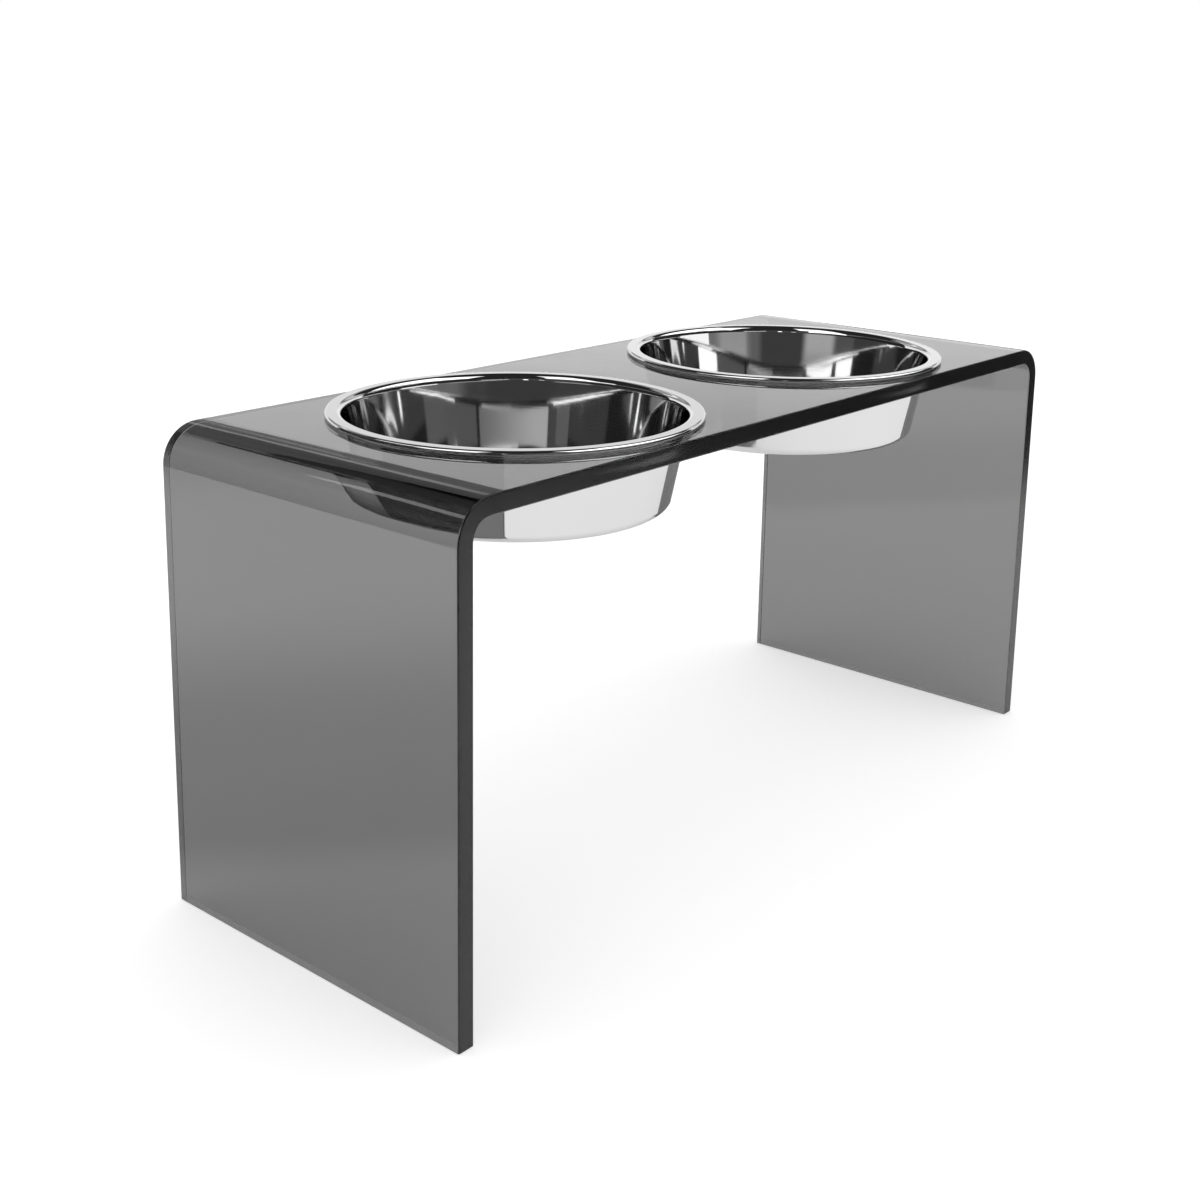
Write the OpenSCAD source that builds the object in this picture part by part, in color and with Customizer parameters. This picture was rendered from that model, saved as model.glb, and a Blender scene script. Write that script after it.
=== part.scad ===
// Raised double pet bowl: a heat-bent acrylic stand with two lift-out stainless bowls.
// Millimetres, +Z up. The origin is on the floor, under the middle of the stand.
// The bowls stand in a row along X, the left one on the -X side.

/* [Stand] */
// Height of the stand's top face above the floor
stand_h = 254; // [160:1:400]
// Thickness of the acrylic sheet
sheet_t = 9.5; // [5:0.5:14]
// Outside radius of the two bends between top and legs
bend_r = 20; // [16:0.5:40]
// Radius of the polished long edges of the sheet
edge_r = 0.8; // [0.3:0.1:1.5]
// Sheet left between a rim and the stand's front or back edge
side_margin = 5; // [2:0.5:40]
// Sheet left between a rim and the outer face of the leg beside it
end_margin = 46.5; // [25:0.5:120]
// Sheet left between the two rims
rim_gap = 48; // [10:1:150]

/* [Bowl] */
// Outside diameter of a bowl across its rolled rim
rim_d = 196; // [120:1:280]
// Depth of a bowl from the stand's top face to its underside
bowl_depth = 46.6; // [30:0.2:90]
// Thickness of the stainless sheet
bowl_t = 0.8; // [0.5:0.1:1]
// Lean of the wall from upright, in degrees
wall_lean = 11; // [4:0.5:20]
// Width of the rim, from its outer edge to the wall at the stand's top face
rim_w = 8.1; // [6:0.1:16]
// Thickness of the rolled bead round the rim
bead_d = 2.8; // [2.6:0.1:4]
// Radius under the lip, where the wall turns out into the rim
lip_r = 2; // [1:0.1:3]
// Outside radius between the wall and the base
corner_r = 5.5; // [3:0.1:12]
// Width of the flat ring that a bowl stands on when it is out of the stand
foot_w = 9; // [5:0.5:14]
// Height that the middle of the base is pressed up
base_lift = 1.2; // [0.4:0.1:3]
// Width of the slope between the flat ring and the pressed middle
base_slope = 4; // [2:0.5:8]

/* [Fit] */
// Clearance all round between a bowl's wall and its cut-out
cutout_gap = 1.2; // [0.6:0.1:2]
// Broken edge of a cut-out, top and bottom
cutout_edge = 0.6; // [0.2:0.1:1]
// Running gap between a bead and the stand's top face
seat_gap = 0.3; // [0.1:0.1:0.5]

/* [Hidden] */
$fn = 180;

// How far a cut runs past the face that it opens
overrun = 1;
// Steps in a rounded stretch of an outline, for each quarter turn
quarter_steps = 8;

// The stand follows from the rims and the margins round them
bowl_spacing = rim_d + rim_gap;
stand_w = rim_d + 2 * side_margin;
stand_l = bowl_spacing + rim_d + 2 * end_margin;

// The wall of a bowl where it passes the stand's top face, and its cut-out
wall_r = rim_d / 2 - rim_w;
cutout_r = wall_r + cutout_gap;

// Heights of the bowl's section, measured from the stand's top face
bead_r = bead_d / 2;
bead_z = seat_gap + bead_r;
rim_z = seat_gap + bead_d;
lip_z = rim_z - bowl_t - lip_r;
corner_z = corner_r - bowl_depth;

// Radii at which the centres of the section's arcs lie
bead_x = rim_d / 2 - bead_r;
lip_x = wall_r + lip_z * tan(wall_lean) + lip_r / cos(wall_lean);
corner_x = wall_r + corner_z * tan(wall_lean) - corner_r / cos(wall_lean);
foot_x = corner_x - foot_w;
panel_x = foot_x - base_slope;

// Points of an arc round a centre, with both of its ends
function arc_points(centre, radius, from, to) =
    let (steps = ceil(quarter_steps * abs(to - from) / 90))
    [for (i = [0:steps])
        let (a = from + (to - from) * i / steps)
        centre + radius * [cos(a), sin(a)]];

// The section of the sheet: its thickness along X, its depth along Y, with polished edges
module sheet_section() {
    reach = stand_w / 2 - edge_r;
    polygon(concat(
        arc_points([edge_r, reach], edge_r, 180, 90),
        arc_points([sheet_t - edge_r, reach], edge_r, 90, 0),
        arc_points([sheet_t - edge_r, -reach], edge_r, 0, -90),
        arc_points([edge_r, -reach], edge_r, -90, -180)));
}

// One upright leg and the bend at its head, on the -X side
module leg_and_bend() {
    translate([-stand_l / 2, 0, 0])
        linear_extrude(height = stand_h - bend_r)
            sheet_section();
    translate([bend_r - stand_l / 2, 0, stand_h - bend_r])
        rotate([90, 0, 0])
            rotate([0, 0, 90])
                rotate_extrude(angle = 90)
                    translate([bend_r - sheet_t, 0])
                        sheet_section();
}

// The flat top between the two bends
module top_panel() {
    translate([bend_r - stand_l / 2, 0, stand_h])
        rotate([0, 90, 0])
            linear_extrude(height = stand_l - 2 * bend_r)
                sheet_section();
}

// What is cut away for one bowl, with the broken edges at both faces of the sheet
module cutout() {
    edge_x = cutout_r + cutout_edge + overrun;
    rotate_extrude()
        polygon([
            [0, overrun],
            [edge_x, overrun],
            [cutout_r, -cutout_edge],
            [cutout_r, cutout_edge - sheet_t],
            [edge_x, -sheet_t - overrun],
            [0, -sheet_t - overrun]]);
}

module stand() {
    color([0.42, 0.43, 0.45, 0.6])
        difference() {
            union() {
                leg_and_bend();
                mirror([1, 0, 0]) leg_and_bend();
                top_panel();
            }
            for (side = [-1, 1])
                translate([side * bowl_spacing / 2, 0, stand_h])
                    cutout();
        }
}

// Half the section of a bowl. It runs out along the underside and into the curl of the bead,
// then back over the bead and down the inside.
module bowl_section() {
    under = concat(
        [[0, base_lift - bowl_depth], [panel_x, base_lift - bowl_depth], [foot_x, -bowl_depth]],
        arc_points([corner_x, corner_z], corner_r, -90, -wall_lean),
        arc_points([lip_x, lip_z], lip_r, 180 - wall_lean, 90),
        arc_points([bead_x, bead_z], bead_r - bowl_t, 90, -180));
    over = concat(
        arc_points([bead_x, bead_z], bead_r, -180, 90),
        arc_points([lip_x, lip_z], lip_r + bowl_t, 90, 180 - wall_lean),
        arc_points([corner_x, corner_z], corner_r - bowl_t, -wall_lean, -90),
        [[foot_x, bowl_t - bowl_depth], [panel_x, base_lift + bowl_t - bowl_depth],
            [0, base_lift + bowl_t - bowl_depth]]);
    polygon(concat(under, over));
}

// One bowl, hung in the cut-out on the given side of the stand
module bowl(side) {
    color([0.8, 0.81, 0.82])
        translate([side * bowl_spacing / 2, 0, stand_h])
            rotate_extrude()
                bowl_section();
}

module left_bowl() {
    bowl(-1);
}

module right_bowl() {
    bowl(1);
}

stand();
left_bowl();
right_bowl();
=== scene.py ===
"""Looks of the raised double pet bowl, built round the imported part. Metres, in the part's frame."""
import math

import bpy
from mathutils import Matrix, Vector


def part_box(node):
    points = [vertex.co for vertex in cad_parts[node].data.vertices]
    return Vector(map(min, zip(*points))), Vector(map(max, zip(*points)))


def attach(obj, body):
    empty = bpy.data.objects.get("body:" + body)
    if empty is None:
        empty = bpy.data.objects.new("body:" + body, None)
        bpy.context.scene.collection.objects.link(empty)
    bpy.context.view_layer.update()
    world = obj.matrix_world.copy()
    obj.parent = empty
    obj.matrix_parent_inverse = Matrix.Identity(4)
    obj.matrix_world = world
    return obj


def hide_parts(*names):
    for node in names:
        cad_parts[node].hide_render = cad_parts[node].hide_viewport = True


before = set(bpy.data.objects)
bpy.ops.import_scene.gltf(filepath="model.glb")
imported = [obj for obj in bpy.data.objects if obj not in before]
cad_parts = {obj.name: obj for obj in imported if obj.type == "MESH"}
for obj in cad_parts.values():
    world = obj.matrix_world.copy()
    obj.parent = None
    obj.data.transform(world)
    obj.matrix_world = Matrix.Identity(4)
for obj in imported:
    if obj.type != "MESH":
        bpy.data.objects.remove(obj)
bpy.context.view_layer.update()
scene = bpy.context.scene


def exact(length):
    """A length of the frame without the rounding of its mesh"""
    return round(length, 6)


stand_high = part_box("stand")[1]
bowl_low, bowl_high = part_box("right_bowl")

# Reach of the stand from its middle along X and along Y, and the height of its top face
HALF_LENGTH = exact(stand_high.x)
HALF_WIDTH = exact(stand_high.y)
TOP_Z = exact(stand_high.z)
# Outside radius of the stand's bends, and the radius of its polished long edges
BEND_R = 0.020
EDGE_R = 0.0008
# Place of a bowl's axis on either side of the middle, the radius of its rim, and its depth below the top face
BOWL_X = exact((bowl_low.x + bowl_high.x) / 2)
RIM_R = exact((bowl_high.x - bowl_low.x) / 2)
BOWL_DEPTH = exact(TOP_Z - bowl_low.z)
# Turn of the camera's heading from +Y towards +X, and the level directions to its right and away from it
YAW = 0.8697
RIGHT = Vector((math.cos(YAW), -math.sin(YAW), 0))
AWAY = Vector((math.sin(YAW), math.cos(YAW), 0))


def make_camera():
    """The photograph's camera, as fitted to the stand's edges and the rims"""
    place, pitch, roll = (-0.72304, -0.56418, 0.43345), 0.2182, 0.0171
    forward = Vector((math.sin(YAW) * math.cos(pitch), math.cos(YAW) * math.cos(pitch), -math.sin(pitch)))
    up = RIGHT.cross(forward)
    right = RIGHT * math.cos(roll) + up * math.sin(roll)
    up = -RIGHT * math.sin(roll) + up * math.cos(roll)
    data = bpy.data.cameras.new("camera")
    data.lens, data.sensor_width = 48.92, 36
    data.shift_x, data.shift_y = 0, -0.15
    data.clip_start, data.clip_end = 0.01, 50
    cam = bpy.data.objects.new("camera", data)
    m = Matrix((right, up, -forward)).transposed().to_4x4()
    m.translation = place
    cam.matrix_world = m
    scene.collection.objects.link(cam)
    scene.camera = cam


class Nodes:
    """Adds linked shader nodes to a tree"""

    def __init__(self, tree):
        self.tree = tree
        tree.nodes.clear()

    def add(self, kind, inputs=None, **settings):
        """A node with its settings, its inputs linked to sockets or set to values"""
        n = self.tree.nodes.new(kind)
        for k, v in settings.items():
            setattr(n, k, v)
        for k, v in (inputs or {}).items():
            if isinstance(v, bpy.types.NodeSocket):
                self.tree.links.new(v, n.inputs[k])
            else:
                n.inputs[k].default_value = v
        return n

    def maths(self, operation, a, b=None, clamp=False):
        inputs = {i: v for i, v in enumerate((a, b)) if v is not None}
        return self.add("ShaderNodeMath", inputs, operation=operation, use_clamp=clamp).outputs[0]

    def product(self, *values):
        out = values[0]
        for v in values[1:]:
            out = self.maths("MULTIPLY", out, v)
        return out

    def total(self, *values):
        out = values[0]
        for v in values[1:]:
            out = self.maths("ADD", out, v)
        return out

    def ramp(self, value, low, high, to_low=0.0, to_high=1.0):
        """to_low where the value is below low, to_high above high, and a smooth step between"""
        r = self.add("ShaderNodeMapRange", {
            "Value": value, "From Min": low, "From Max": high, "To Min": to_low, "To Max": to_high},
            interpolation_type="SMOOTHSTEP", clamp=True)
        return r.outputs[0]

    def step(self, value, place, blur, to_low=0.0, to_high=1.0):
        """A ramp that reaches a blur to either side of its place"""
        return self.ramp(value, place - blur, place + blur, to_low, to_high)

    def turned(self, vector, angle):
        """The three parts of a vector that is turned about Z"""
        r = self.add("ShaderNodeVectorRotate", {"Vector": vector, "Axis": (0, 0, 1), "Angle": angle},
                     rotation_type="AXIS_ANGLE")
        return self.add("ShaderNodeSeparateXYZ", {0: r.outputs[0]}).outputs

    def noise(self, vector, scale, detail=2.0, w=None):
        n = self.add("ShaderNodeTexNoise", {"Vector": vector, "Scale": scale, "Detail": detail},
                     noise_dimensions="3D" if w is None else "4D")
        if w is not None:
            self.tree.links.new(w, n.inputs["W"])
        return n.outputs[0]

    def bump(self, height, strength, distance, normal=None):
        b = self.add("ShaderNodeBump", {"Height": height, "Strength": strength, "Distance": distance})
        if normal is not None:
            self.tree.links.new(normal, b.inputs["Normal"])
        return b.outputs[0]


def new_material(name):
    m = bpy.data.materials.new(name)
    m.use_nodes = True
    return m, Nodes(m.node_tree)


def acrylic():
    """Clear smoked sheet: the grey is in its depth, so an edge is far darker than a face. The faces are
    glossy, the long edges a little satin from polishing, and the flats start to curve just before the
    heated bends."""
    edge_blur, sag_depth, line_height, wave_height = 0.0001, 0.0006, 0.000015, 0.0002
    # Where the top and a leg run into a bend, and how far from there the heater's lines and the sag set in
    bend_x, bend_z = HALF_LENGTH - BEND_R, TOP_Z - BEND_R
    lines_x, lines_z, sag_x = (-0.008, -0.0035), (0.002, 0.008), (-0.009, 0.008)
    m, n = new_material("smoked_acrylic")
    place = n.add("ShaderNodeTexCoord").outputs["Object"]
    p = n.add("ShaderNodeSeparateXYZ", {0: place})
    out = n.maths("ABSOLUTE", p.outputs[0])
    edge = n.step(n.maths("ABSOLUTE", p.outputs[1]), HALF_WIDTH - EDGE_R, edge_blur)
    # length along the sheet's section, which the heater's lines follow
    along = n.product(n.maths("SUBTRACT", out, p.outputs[2]), 330.0)
    lines = n.noise(n.add("ShaderNodeCombineXYZ", {0: along}).outputs[0], 1.0)
    heated = n.product(n.ramp(out, *[bend_x + d for d in lines_x]),
                       n.ramp(p.outputs[2], *[bend_z + d for d in lines_z]))
    sag = n.product(n.ramp(out, *[bend_x + d for d in sag_x]), -sag_depth)
    shape = n.total(sag, n.product(lines, heated, line_height))
    waves = n.bump(n.noise(place, 14.0, 1.0), 1.0, wave_height)
    bent = n.bump(shape, 1.0, 1.0, waves)
    smears = n.noise(place, 9.0, 4.0)
    hairs = n.add("ShaderNodeMapping", {"Vector": place, "Scale": (60.0, 900.0, 300.0)})
    rough = n.total(
        n.ramp(smears, 0.5, 0.75, 0.0, 0.02),
        n.ramp(n.noise(hairs.outputs[0], 1.0), 0.7, 0.8, 0.0, 0.04),
        n.product(edge, 0.2))
    glass = n.add("ShaderNodeBsdfPrincipled", {
        "Base Color": (1, 1, 1, 1), "Roughness": rough, "IOR": 1.49, "Transmission Weight": 1.0,
        "Normal": bent})
    clear = n.add("ShaderNodeBsdfTransparent", {"Color": (0.5, 0.5, 0.5, 1)})
    path = n.add("ShaderNodeLightPath")
    mix = n.add("ShaderNodeMixShader", {
        0: path.outputs["Is Shadow Ray"], 1: glass.outputs[0], 2: clear.outputs[0]})
    dark = n.add("ShaderNodeVolumeAbsorption", {"Color": (0.2, 0.2, 0.2, 1), "Density": 206.0})
    n.add("ShaderNodeOutputMaterial", {"Surface": mix.outputs[0], "Volume": dark.outputs[0]})
    return m


def steel():
    """Polished stainless sheet, with the faint grain and ripples left round the bowl by its polishing"""
    turn_scale, grain_scale, grain_height, ripple_height = 2.5, 1400.0, 0.000006, 0.00006
    m, n = new_material("stainless_steel")
    place = n.add("ShaderNodeTexCoord").outputs["Object"]
    p = n.add("ShaderNodeSeparateXYZ", {0: place})
    # both bowls at once: x from the nearer bowl's axis
    x = n.maths("SUBTRACT", n.maths("ABSOLUTE", p.outputs[0]), BOWL_X)
    flat = n.add("ShaderNodeCombineXYZ", {0: x, 1: p.outputs[1]})
    radius = n.add("ShaderNodeVectorMath", {0: flat.outputs[0]}, operation="LENGTH").outputs["Value"]
    turn = n.add("ShaderNodeVectorMath", {0: flat.outputs[0]}, operation="NORMALIZE").outputs[0]
    t = n.add("ShaderNodeSeparateXYZ", {0: turn})
    around = n.add("ShaderNodeCombineXYZ", {
        0: n.product(t.outputs[0], turn_scale), 1: n.product(t.outputs[1], turn_scale),
        2: n.product(radius, grain_scale)})
    grain = n.noise(around.outputs[0], 1.0, 3.0, n.product(p.outputs[2], grain_scale))
    ripple = n.noise(place, 22.0, 1.0)
    normal = n.bump(ripple, 1.0, ripple_height)
    normal = n.bump(grain, 0.2, grain_height, normal)
    smears = n.noise(place, 16.0, 4.0)
    rough = n.total(n.ramp(smears, 0.35, 0.7, 0.03, 0.06), n.ramp(grain, 0.3, 0.8, 0.0, 0.02))
    metal = n.add("ShaderNodeBsdfPrincipled", {
        "Base Color": (0.66, 0.66, 0.66, 1), "Metallic": 1.0, "Roughness": rough, "Normal": normal,
        "Specular Tint": (0.85, 0.85, 0.85, 1)})
    n.add("ShaderNodeOutputMaterial", {"Surface": metal.outputs[0]})
    return m


def arc(x, z, r, start, stop, side, steps):
    """Points of a section as (radius, height, outward radial, outward upward), with both ends of the arc.
    The side is 1 where the metal is inside the arc and -1 where it is outside."""
    out = []
    for i in range(steps + 1):
        a = math.radians(start + (stop - start) * i / steps)
        out.append((x + r * math.cos(a), z + r * math.sin(a), side * math.cos(a), side * math.sin(a)))
    return out


def between(p, q, steps):
    """Points inside the straight stretch from p to q"""
    return [tuple(a + (b - a) * i / steps for a, b in zip(p[:2], q[:2])) + p[2:] for i in range(1, steps)]


def base(z, side, foot_x, slope, lift):
    """From the middle of the base out to its foot ring, over the pressed slope"""
    panel_x, rings, steps = foot_x - slope, 4, 16
    out = [(panel_x * i / rings, z + lift, 0, side) for i in range(rings)]
    for i in range(steps + 1):
        t = i / steps
        fall = lift * t * t * (3 - 2 * t)
        steep = -lift * 6 * t * (1 - t) / slope
        n = math.hypot(1, steep)
        out.append((panel_x + slope * t, z + lift - fall, -side * steep / n, side / n))
    return out


def shaded(points, angles):
    """The points with their outward direction turned to the given angles, in degrees"""
    turns = [math.radians(a) for a in angles]
    return [(x, z, math.cos(a), math.sin(a)) for (x, z, _, _), a in zip(points, turns)]


def bowl_section():
    """The closed half section of a bowl, the same curves as in the source and with finer steps: along the
    underside, into the curl of the bead, back over it and down the inside. The inside is shaded with a
    softer lip and a slight bow, steeper at its top and flatter near the base, which were tuned until the
    reflections lay as they do in the photograph. Its points stay on the straight wall."""
    sheet, lean_deg = 0.0008, 11.0
    seat_gap, rim_w, bead_r, lip_r = 0.0003, 0.0081, 0.0014, 0.002
    corner_r, foot_w, slope, lift = 0.0055, 0.009, 0.004, 0.0012
    lean = math.radians(lean_deg)
    wall_r = RIM_R - rim_w
    bead_x, bead_z = RIM_R - bead_r, seat_gap + bead_r
    lip_z = seat_gap + 2 * bead_r - sheet - lip_r
    corner_z = corner_r - BOWL_DEPTH
    lip_x = wall_r + lip_z * math.tan(lean) + lip_r / math.cos(lean)
    corner_x = wall_r + corner_z * math.tan(lean) - corner_r / math.cos(lean)
    foot_x = corner_x - foot_w

    corner = arc(corner_x, corner_z, corner_r, -90, -lean_deg, 1, 12)
    lip = arc(lip_x, lip_z, lip_r, 180 - lean_deg, 90, -1, 12)
    curl = arc(bead_x, bead_z, bead_r - sheet, 90, -180, -1, 24)
    bead = arc(bead_x, bead_z, bead_r, -180, 90, 1, 48)
    top_lip = arc(lip_x, lip_z, lip_r + sheet, 90, 180 - lean_deg, 1, 20)
    inner = arc(corner_x, corner_z, corner_r - sheet, -lean_deg, -90, -1, 12)
    wall = [top_lip[-1]] + between(top_lip[-1], inner[0], 24) + [inner[0]]

    # the lean that the wall is shaded with at its top and near the base, and what the lip adds to it
    top_lean, low_lean, roll = 8.0, 12.5, 7.0
    bow = [top_lean + (low_lean - top_lean) * (i / 24) ** 2 for i in range(1, 25)]
    wall = shaded(wall, [180 - top_lean - roll] + [180 - a for a in bow])
    top_lip = shaded(top_lip, [90 + (90 - top_lean - roll) * i / 20 for i in range(21)])
    inner = shaded(inner, [180 - low_lean - (90 - low_lean) * i / 12 for i in range(13)])

    under = base(-BOWL_DEPTH, -1, foot_x, slope, lift) + corner + between(corner[-1], lip[0], 16) + lip
    under += between(lip[-1], curl[0], 4) + curl
    over = bead + between(bead[-1], top_lip[0], 4) + top_lip + wall[1:-1] + inner
    return under + over + base(sheet - BOWL_DEPTH, 1, foot_x, slope, lift)[::-1]


def make_bowl(name, node, centre_x, material):
    """A finely turned shell with its section's normals, in place of the node's coarser one"""
    section, turns = bowl_section(), 320
    verts, normals, rings = [], [], []
    for x, z, nx, nz in section:
        rings.append(len(verts))
        for i in range(turns if x > 0 else 1):
            a = 2 * math.pi * i / turns
            verts.append((centre_x + x * math.cos(a), x * math.sin(a), TOP_Z + z))
            normals.append((nx * math.cos(a), nx * math.sin(a), nz))
    faces = []
    for row in range(len(section) - 1):
        a, b = rings[row], rings[row + 1]
        for i in range(turns):
            j = (i + 1) % turns
            if section[row][0] == 0:
                faces.append((a, b + j, b + i))
            elif section[row + 1][0] == 0:
                faces.append((a + i, a + j, b))
            else:
                faces.append((a + i, a + j, b + j, b + i))
    mesh = bpy.data.meshes.new(name)
    mesh.from_pydata(verts, [], faces)
    mesh.polygons.foreach_set("use_smooth", [True] * len(faces))
    mesh.materials.append(material)
    mesh.normals_split_custom_set_from_vertices(normals)
    mesh.update()
    o = bpy.data.objects.new(name, mesh)
    scene.collection.objects.link(o)
    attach(o, node)
    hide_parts(node)


def set_material(node, material):
    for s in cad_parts[node].material_slots:
        s.material = material


def studio():
    """A dark room with a pale backdrop behind the object, and windows and lamps round it that only
    reflections show. They are placed so that the reflections lie as they do in the photograph.
    Matt surfaces, here the floor alone, get an even light instead."""
    world = bpy.data.worlds.new("studio")
    scene.world = world
    world.use_nodes = True
    n = Nodes(world.node_tree)
    path = n.add("ShaderNodeLightPath")
    x, y, z = n.turned(n.add("ShaderNodeTexCoord").outputs["Generated"], YAW + math.pi)

    def degrees(angle):
        return n.product(angle, 180 / math.pi)

    # azimuth measured from the direction behind the camera, and elevation, in degrees
    azimuth = degrees(n.maths("ARCTAN2", x, y))
    elevation = degrees(n.maths("ARCSINE", z))
    # azimuth measured from straight behind the object
    back = degrees(n.maths("ARCTAN2", n.product(x, -1.0), n.product(y, -1.0)))

    def above_curve(middle, curve, slope):
        """Elevation above a line that is curved to either side of an azimuth"""
        off = n.maths("SUBTRACT", azimuth, middle)
        height = n.product(off, n.maths("SUBTRACT", n.product(off, curve), slope))
        return n.maths("SUBTRACT", elevation, height)

    # what the farther bowl's wall shows lies above this line's parting, the nearer one's below
    level, low, parting, high = above_curve(2.0, -0.00056, 0.0), -2, 5.75, 9
    # the curved streak that the nearer bowl shows on the left
    streak = above_curve(-27.0, 0.0113, 0.07)

    def window(a0, a1, e0, e1, strength, soft=0.5, soft_up=0.12, a=azimuth, e=elevation):
        """A patch of light between two azimuths and two elevations"""
        wide = n.product(n.step(a, a0, soft), n.step(a, a1, soft, 1.0, 0.0))
        tall = n.product(n.step(e, e0, soft_up), n.step(e, e1, soft_up, 1.0, 0.0))
        return n.product(wide, tall, strength)

    # the backdrop, from the left to the right, and the panel above it, which grows lighter to the right
    behind = n.total(n.step(back, -55.0, 1.0), n.step(back, 50.0, 1.0, 1.0, 0.0), -1.0)
    fading = n.product(n.ramp(elevation, 15.2, 16.2, 1.0, 0.0), n.ramp(elevation, 9.5, 12.5, 1.2, 1.03))
    growing = n.ramp(back, -58.0, 35.0, 0.0, 0.5)
    room = 0.025
    glossy = n.total(
        n.product(behind, fading), room,
        window(-55, 42, 16, 26, 0.28, 0.8, 0.3, a=back),
        window(-55, 42, 19.5, 26, growing, 0.8, 0.3, a=back),
        window(-52, -10, 26, 40, 0.4, 1.5, 0.3, a=back),
        window(-52, 0, 25.8, 29, 0.8, 1.5, 0.4, a=back),
        # lamps over the two ends
        window(-130, -38, 27, 64, 2.4, 1.5, 1.0),
        window(20, 60, 23, 66, 1.9, 1.5, 1.0),
        # behind the camera, low: what the nearer bowl shows
        window(-104, 104, low, parting, 0.03, 2.0, 0.1, e=level),
        window(-92, -42, low, parting, 0.12, 8.0, 0.1, e=level),
        # above that: what the farther one shows
        window(-89, -59.5, parting, high, 1.4, 0.8, 0.1, e=level),
        window(-59.5, -25, parting, high, 0.2, 2.0, 0.1, e=level),
        window(-50, -24, parting, 8, 0.22, 5.0, 1.0, e=level),
        window(-25, -13, parting, high, 0.13, 3.0, 0.1, e=level),
        window(-13, 104, parting, high, 0.035, 2.0, 0.1, e=level),
        window(24, 51, parting, high, 0.28, 3.0, 0.1, e=level),
        window(26, 49, parting, 7.2, 0.25, 3.0, 0.8, e=level),
        window(52, 68, parting, high, 0.05, 2.0, 0.1, e=level),
        # seen by way of both sides of a bowl
        window(-138, -125.5, 18, 26, 0.09, 0.8, 0.3),
        window(-125.5, -107, 17, 25, 0.19, 0.8, 0.3),
        window(-107, -48, 14.5, 23, 0.055, 2.0, 0.5),
        window(-29, -8, 9, 13.5, 0.13, 2.0, 0.3),
        window(-27, -8.5, 10, 11, 1.6, 1.0, 0.15, e=streak),
        window(2, 5, 10.8, 13.3, 3.0, 0.5, 0.3),
        window(13, 16.5, 11.2, 11.8, 3.0, 0.5, 0.15),
        window(-8, 44, 10, 17, 0.06, 3.0, 0.5),
        window(44, 76, 14.5, 21.5, 0.17, 2.0, 0.4),
        window(76, 121, 16.5, 25, 0.15, 1.0, 0.4))
    # matt surfaces get an even light, and what the camera sees directly or through the sheet is white
    even, white = 0.9, 1.0
    seen = n.maths("MAXIMUM", path.outputs["Is Camera Ray"], path.outputs["Is Transmission Ray"])
    light = n.add("ShaderNodeMix", {"Factor": path.outputs["Is Glossy Ray"], "A": even, "B": glossy},
                  data_type="FLOAT")
    strength = n.add("ShaderNodeMix", {"Factor": seen, "A": light.outputs[0], "B": white}, data_type="FLOAT")
    sky = n.add("ShaderNodeBackground", {"Color": (1, 1, 1, 1), "Strength": strength.outputs[0]})
    n.add("ShaderNodeOutputWorld", {"Surface": sky.outputs[0]})


def stage_plane(name, centre, across, upward, material):
    """A flat four-sided piece of the studio, given by its middle and its two half sides"""
    c, a, u = Vector(centre), Vector(across), Vector(upward)
    mesh = bpy.data.meshes.new(name)
    mesh.from_pydata([c - a - u, c + a - u, c + a + u, c - a + u], [], [(0, 1, 2, 3)])
    mesh.materials.append(material)
    o = bpy.data.objects.new(name, mesh)
    scene.collection.objects.link(o)
    return o


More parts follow.
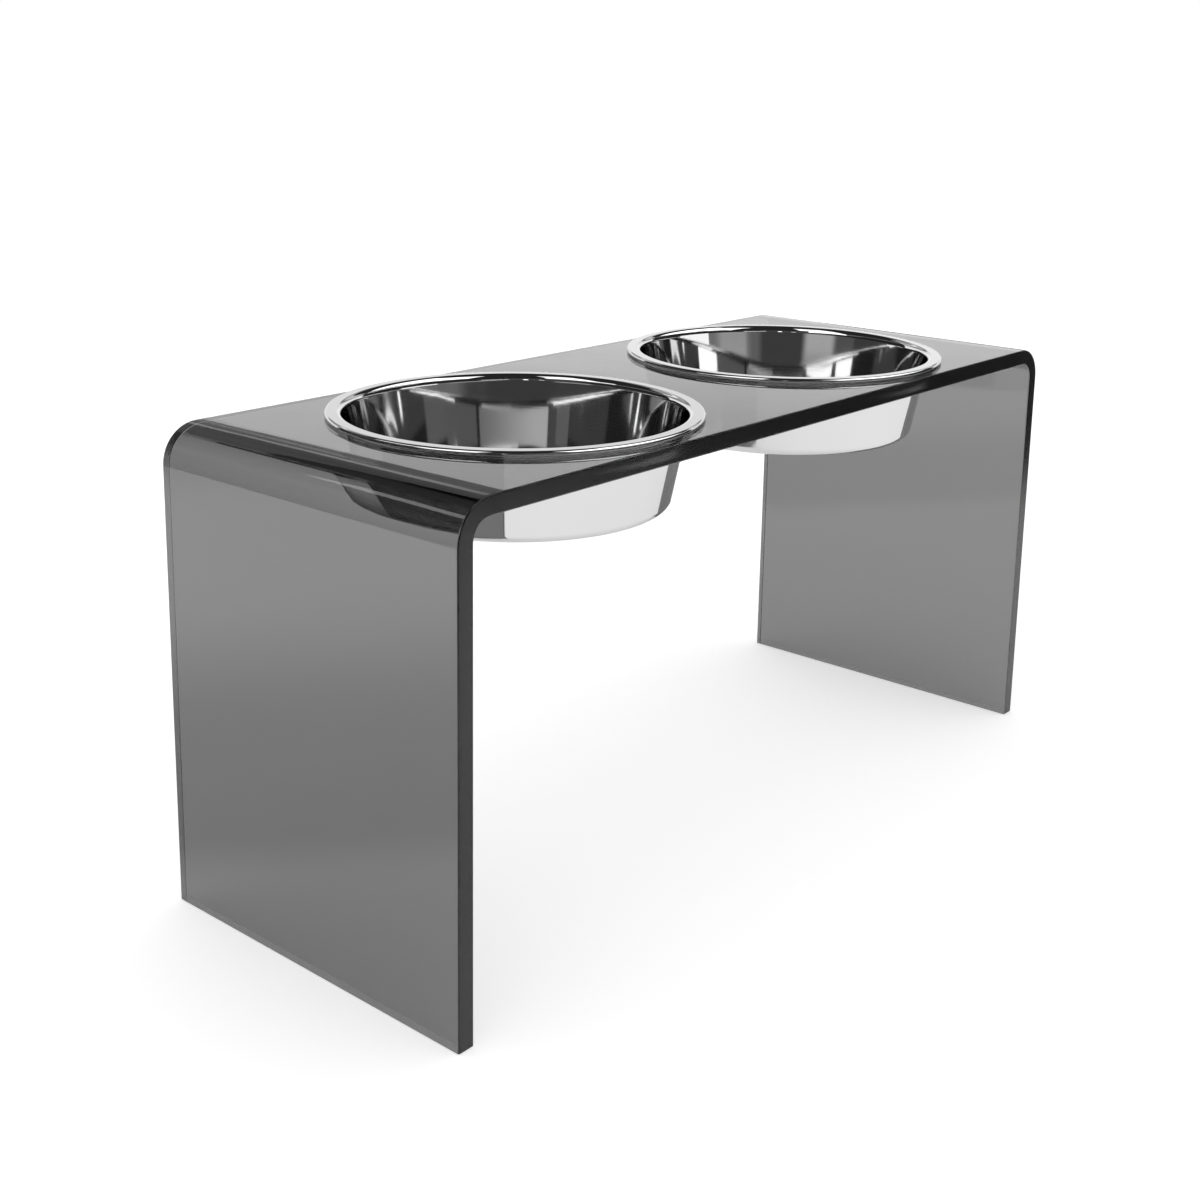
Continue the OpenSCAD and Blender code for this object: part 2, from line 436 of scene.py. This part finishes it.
def floor():
    """A white table top. In reflections alone it carries painted shade: paler in the middle, dimmer to the
    sides and beside the nearer leg, and a painted dark room past its nearer edge. It also shines for the
    camera, in reflections and through the sheet."""
    half_side, below_feet = 15, 0.0003
    # light of its own: what the camera sees, a shiny surface on the left and elsewhere, and the clear sheet
    direct, mirrored_left, mirrored_else, through = 0.42, 0.6, 0.4, 0.5
    m, n = new_material("floor")
    path = n.add("ShaderNodeLightPath")
    # to the camera's right and away from it, from the middle of the part
    right, away, _ = n.turned(n.add("ShaderNodeTexCoord").outputs["Object"], YAW)
    # painted shade in reflections: the dark room past the nearer edge and to either side
    near_end = n.ramp(away, -0.75, -0.6)
    right_end = n.ramp(right, 0.75, 0.95, 1.0, 0.05)
    left_end = n.ramp(right, -1.5, -1.0)
    # painted shade: the dim patch beside the nearer leg, which only reflections show
    painted_shade_patch = n.total(n.ramp(right, -0.34, -0.24), n.ramp(right, -0.75, -0.42, 1.0, 0.0))
    bright = n.product(near_end, right_end, left_end, n.ramp(painted_shade_patch, 0.0, 1.0, 0.35, 1.0))
    # a ray that has passed through the sheet counts as glossy too
    mirrored = n.maths("SUBTRACT", path.outputs["Is Glossy Ray"], path.outputs["Is Transmission Ray"],
                       clamp=True)
    painted_dark_mask = n.product(mirrored, n.maths("SUBTRACT", 1.0, bright))
    lit = n.total(
        n.product(path.outputs["Is Camera Ray"], direct),
        n.product(mirrored, n.ramp(right, -0.8, -0.6, mirrored_left, mirrored_else)),
        n.product(path.outputs["Is Transmission Ray"], through))
    d = n.add("ShaderNodeBsdfDiffuse", {"Color": (0.85, 0.85, 0.85, 1)})
    e = n.add("ShaderNodeEmission", {"Color": (1, 1, 1, 1), "Strength": lit})
    pale = n.add("ShaderNodeAddShader", {0: d.outputs[0], 1: e.outputs[0]})
    # the painted dark that reflections show in place of the pale floor
    dark = n.add("ShaderNodeEmission", {"Color": (1, 1, 1, 1), "Strength": 0.03})
    mix = n.add("ShaderNodeMixShader", {0: painted_dark_mask, 1: pale.outputs[0], 2: dark.outputs[0]})
    n.add("ShaderNodeOutputMaterial", {"Surface": mix.outputs[0]})
    stage_plane("floor", (0, 0, -below_feet), (half_side, 0, 0), (0, half_side, 0), m)


def card(name, azimuth, distance, z, half_width, half_height, strength=2.5):
    """A lit card close beside the part, which only shiny surfaces show: the two bowls see it at different
    heights. The azimuth is measured from behind the camera."""
    a = math.radians(azimuth)
    out = -RIGHT * math.sin(a) - AWAY * math.cos(a)
    m, n = new_material(name)
    e = n.add("ShaderNodeEmission", {"Color": (1, 1, 1, 1), "Strength": strength})
    n.add("ShaderNodeOutputMaterial", {"Surface": e.outputs[0]})
    middle = out * distance + Vector((0, 0, z))
    o = stage_plane(name, middle, out.cross(Vector((0, 0, 1))) * half_width, (0, 0, half_height), m)
    o.visible_camera = o.visible_diffuse = o.visible_transmission = o.visible_shadow = False


make_camera()
set_material("stand", acrylic())
bowl_steel = steel()
make_bowl("left_bowl_shell", "left_bowl", -BOWL_X, bowl_steel)
make_bowl("right_bowl_shell", "right_bowl", BOWL_X, bowl_steel)
studio()
floor()
card("left_card", azimuth=49.5, distance=0.40, z=0.452, half_width=0.17, half_height=0.031)
card("right_card", azimuth=-112.5, distance=0.484, z=0.457, half_width=0.16, half_height=0.011)
card("front_card", azimuth=-78.0, distance=0.337, z=0.390, half_width=0.08, half_height=0.009)

scene.view_settings.view_transform = "Standard"
